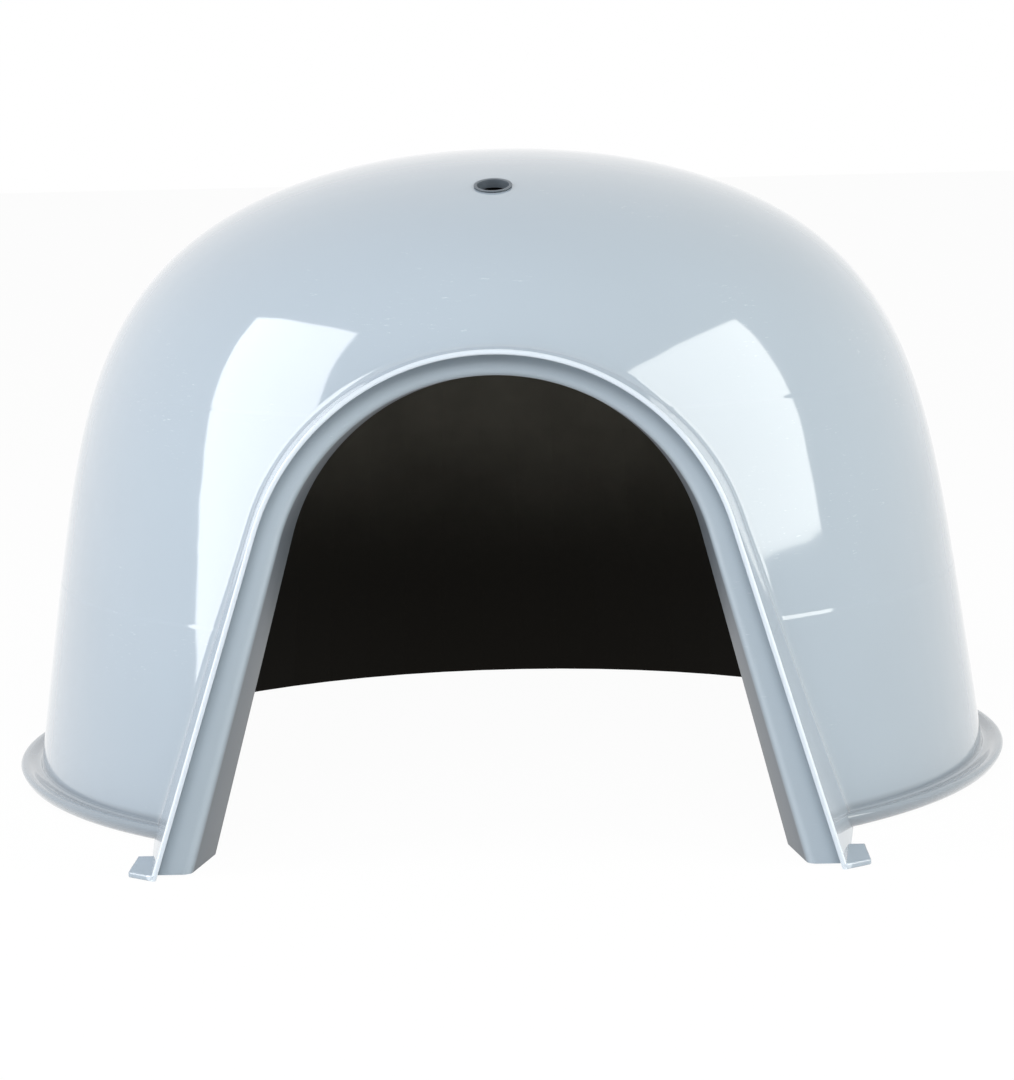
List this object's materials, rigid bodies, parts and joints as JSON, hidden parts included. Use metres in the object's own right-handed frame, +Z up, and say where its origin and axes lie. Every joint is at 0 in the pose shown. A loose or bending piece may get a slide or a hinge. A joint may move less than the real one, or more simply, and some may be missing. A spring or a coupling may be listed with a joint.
{
  "type": "dog house",
  "caption": "Round domed house for a small dog with a gutter rim, a leaning arched door collar with foot tabs, a dark inner skin and a vent hole near the crown.",
  "frame": {"origin": "on the floor, under the middle of the whole footprint", "axes": "+Z up, -Y out of the doorway, +X to the right as seen from in front of the door"},
  "size_m": [0.6, 0.62, 0.37],
  "materials": {
    "shell": "gloss",
    "liner": "satin",
    "frame": "gloss",
    "eyelet": "gloss",
    "zinc": "satin"
  },
  "bodies": {
    "root": {"outer_dome": "shell", "inner_liner": "liner", "door_frame": "frame", "vent_eyelet": "eyelet", "liner_screw_1": "zinc", "liner_screw_2": "zinc", "liner_screw_3": "zinc", "liner_screw_4": "zinc", "liner_screw_5": "zinc", "liner_screw_6": "zinc", "liner_screw_7": "zinc", "liner_screw_8": "zinc"}
  },
  "joints": []
}
